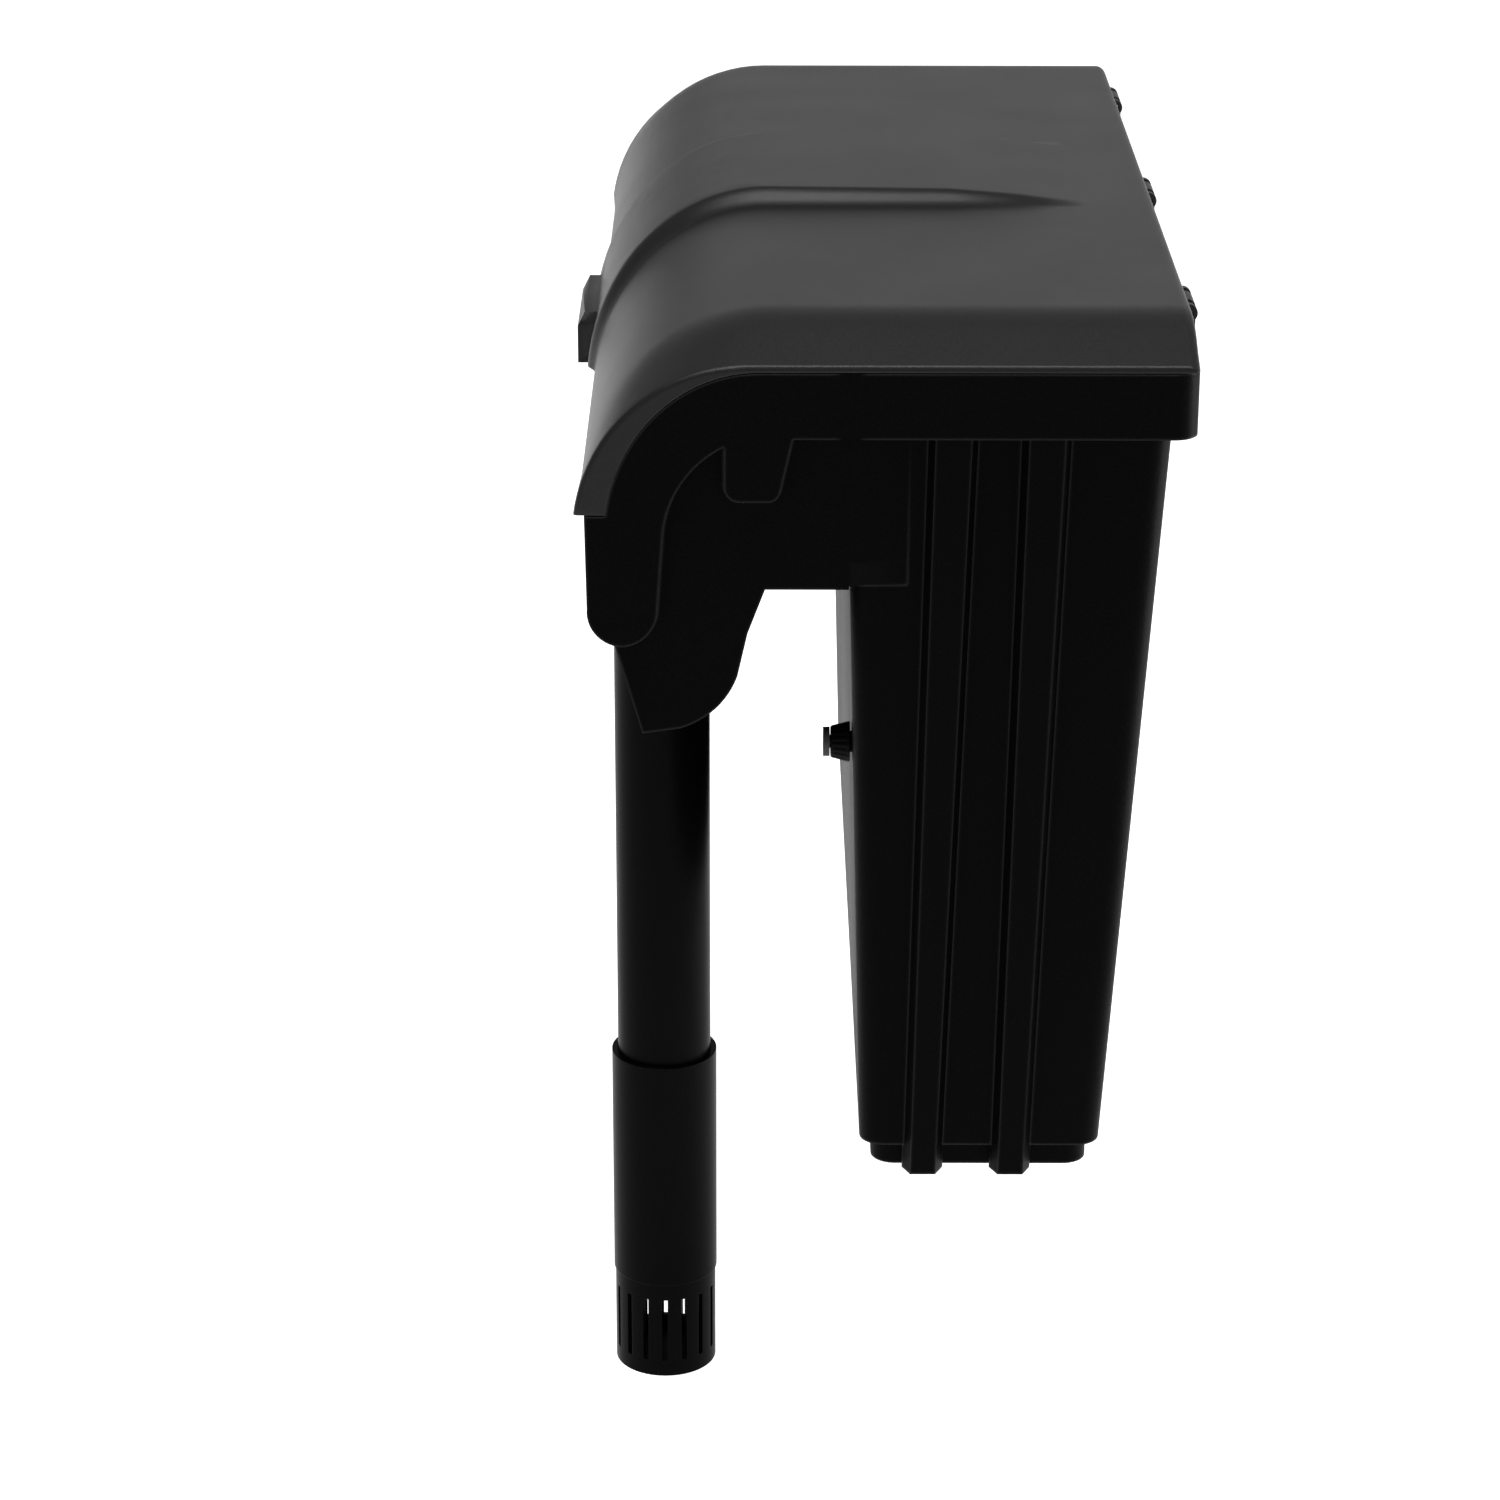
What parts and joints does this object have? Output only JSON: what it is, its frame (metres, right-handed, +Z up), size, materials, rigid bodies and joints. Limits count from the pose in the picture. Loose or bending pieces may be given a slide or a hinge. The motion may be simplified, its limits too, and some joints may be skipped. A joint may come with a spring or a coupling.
{
  "type": "hang on back filter",
  "caption": "Rim-hung aquarium filter with hinged lid, bio wheels over curved spillways, telescoping intake and magnetic-drive pump.",
  "frame": {"origin": "middle of the hook underside, where it sits on the tank rim", "axes": "+Z up, +X away from the tank, Y along the length"},
  "size_m": [0.23, 0.47, 0.5415],
  "materials": {
    "basket_plastic": "satin",
    "cartridge_plastic": "satin",
    "case_plastic": "fine spark texture",
    "ceramic_shaft": "polished",
    "copper": "enamelled winding",
    "floss": "needled floss",
    "intake_plastic": "satin gloss",
    "knob_plastic": "fine grained",
    "lamination_steel": "stacked sheet",
    "lid_plastic": "fine grained satin",
    "magnet": "sintered",
    "media_fabric": "pleated spun polyester",
    "pump_case_plastic": "satin",
    "pump_plastic": "satin gloss",
    "seal_rubber": "matte",
    "steel": "satin",
    "wheel_plastic": "satin"
  },
  "bodies": {
    "case": {"cable_gland": "seal_rubber", "cartridge_frame_far": "cartridge_plastic", "cartridge_frame_near": "cartridge_plastic", "coil": "copper", "divider_far": "case_plastic", "divider_near": "case_plastic", "end_rails_far": "case_plastic", "end_rails_near": "case_plastic", "filter_case": "case_plastic", "floss_pad_far": "floss", "floss_pad_near": "floss", "hinge_pins": "steel", "impeller_cover": "pump_plastic", "impeller_shaft": "ceramic_shaft", "intake_elbow": "intake_plastic", "intake_seal": "seal_rubber", "intake_tube": "intake_plastic", "media_basket_far": "basket_plastic", "media_basket_near": "basket_plastic", "pump_base_cap": "pump_case_plastic", "pump_bay": "case_plastic", "pump_gasket": "seal_rubber", "pump_housing": "pump_case_plastic", "pump_screws": "steel", "shaft_bushes": "seal_rubber", "spillway_far": "case_plastic", "spillway_near": "case_plastic", "stator": "lamination_steel", "wheel_bearings": "wheel_plastic"},
    "lid": {"lid": "lid_plastic"},
    "bio_wheel_near": {"wheel_core_near": "wheel_plastic", "wheel_media_near": "media_fabric"},
    "bio_wheel_far": {"wheel_core_far": "wheel_plastic", "wheel_media_far": "media_fabric"},
    "impeller": {"rotor_magnet": "magnet", "impeller": "pump_plastic"},
    "intake_extension": {"intake_sleeve": "intake_plastic", "intake_strainer": "intake_plastic"},
    "level_pad_near": {"level_pad_near": "seal_rubber"},
    "level_pad_far": {"level_pad_far": "seal_rubber"},
    "level_screw_near": {"level_screw_near": "knob_plastic"},
    "level_screw_far": {"level_screw_far": "knob_plastic"}
  },
  "joints": [
    {"name": "lid_hinge", "type": "hinge", "parent": "case", "child": "lid", "pos_m": [0.1385, 0, 0.0875], "axis": [0, 1, 0], "range_deg": [0, 100]},
    {"name": "bio_wheel_near_spin", "type": "hinge", "parent": "case", "child": "bio_wheel_near", "pos_m": [-0.034, -0.1315, 0.034], "axis": [0, 1, 0], "continuous": true},
    {"name": "bio_wheel_far_spin", "type": "hinge", "parent": "case", "child": "bio_wheel_far", "pos_m": [-0.034, 0.1315, 0.034], "axis": [0, 1, 0], "continuous": true},
    {"name": "impeller_spin", "type": "hinge", "parent": "case", "child": "impeller", "pos_m": [0.062, 0, -0.19], "axis": [0, 0, 1], "continuous": true},
    {"name": "intake_slide", "type": "slide", "parent": "case", "child": "intake_extension", "axis": [0, 0, 1], "range_m": [-0.02, 0.05]},
    {"name": "level_near_travel", "type": "slide", "parent": "case", "child": "level_pad_near", "axis": [-1, 0, 0], "range_m": [0, 0.006]},
    {"name": "level_near_turn", "type": "hinge", "parent": "level_pad_near", "child": "level_screw_near", "pos_m": [0.02, -0.2, -0.07], "axis": [1, 0, 0], "range_deg": [0, 720]},
    {"name": "level_far_travel", "type": "slide", "parent": "case", "child": "level_pad_far", "axis": [-1, 0, 0], "range_m": [0, 0.006]},
    {"name": "level_far_turn", "type": "hinge", "parent": "level_pad_far", "child": "level_screw_far", "pos_m": [0.02, 0.2, -0.07], "axis": [1, 0, 0], "range_deg": [0, 720]}
  ],
  "couplings": [
    {"joint": "level_near_turn", "follows": "level_near_travel", "rad_per_m": 2094.4},
    {"joint": "level_far_turn", "follows": "level_far_travel", "rad_per_m": 2094.4}
  ]
}
